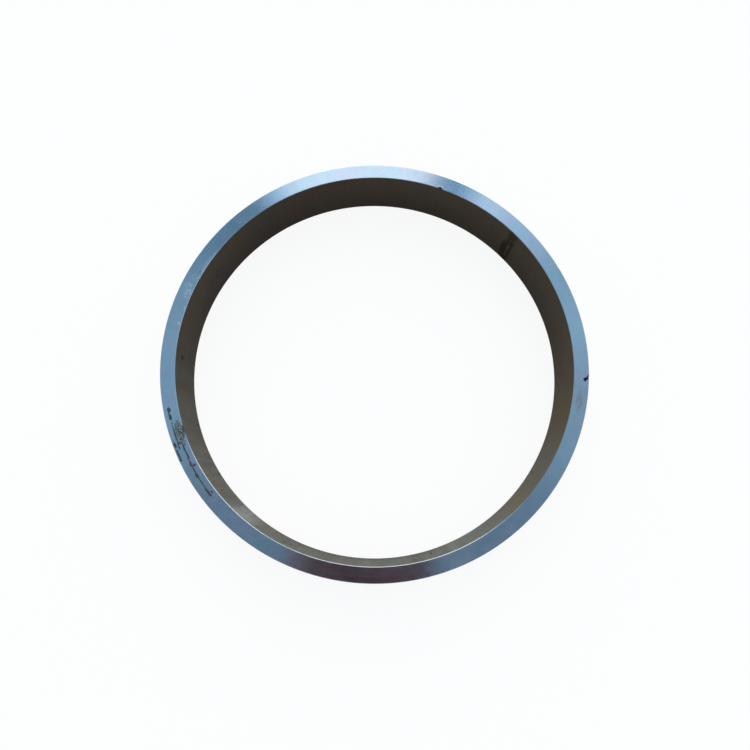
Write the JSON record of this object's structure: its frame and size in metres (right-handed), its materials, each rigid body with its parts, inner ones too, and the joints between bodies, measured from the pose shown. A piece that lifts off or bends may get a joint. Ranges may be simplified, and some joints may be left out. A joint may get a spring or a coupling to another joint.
{
  "type": "weld neck flange",
  "caption": "Undrilled weld neck flange: a turned steel ring with a flat mating face, a stepped rim, and a tapered hub that ends in a neck bevelled for butt welding.",
  "frame": {"origin": "centre of the weld end, which the ring lies on", "axes": "+Z along the bore axis, from the weld end to the mating face; +X and +Y are any two directions across the bore"},
  "size_m": [0.914, 0.914, 0.125],
  "materials": {
    "turned_steel": "fine turned, satin"
  },
  "bodies": {
    "root": {"weld_neck_flange": "turned_steel"}
  },
  "joints": []
}
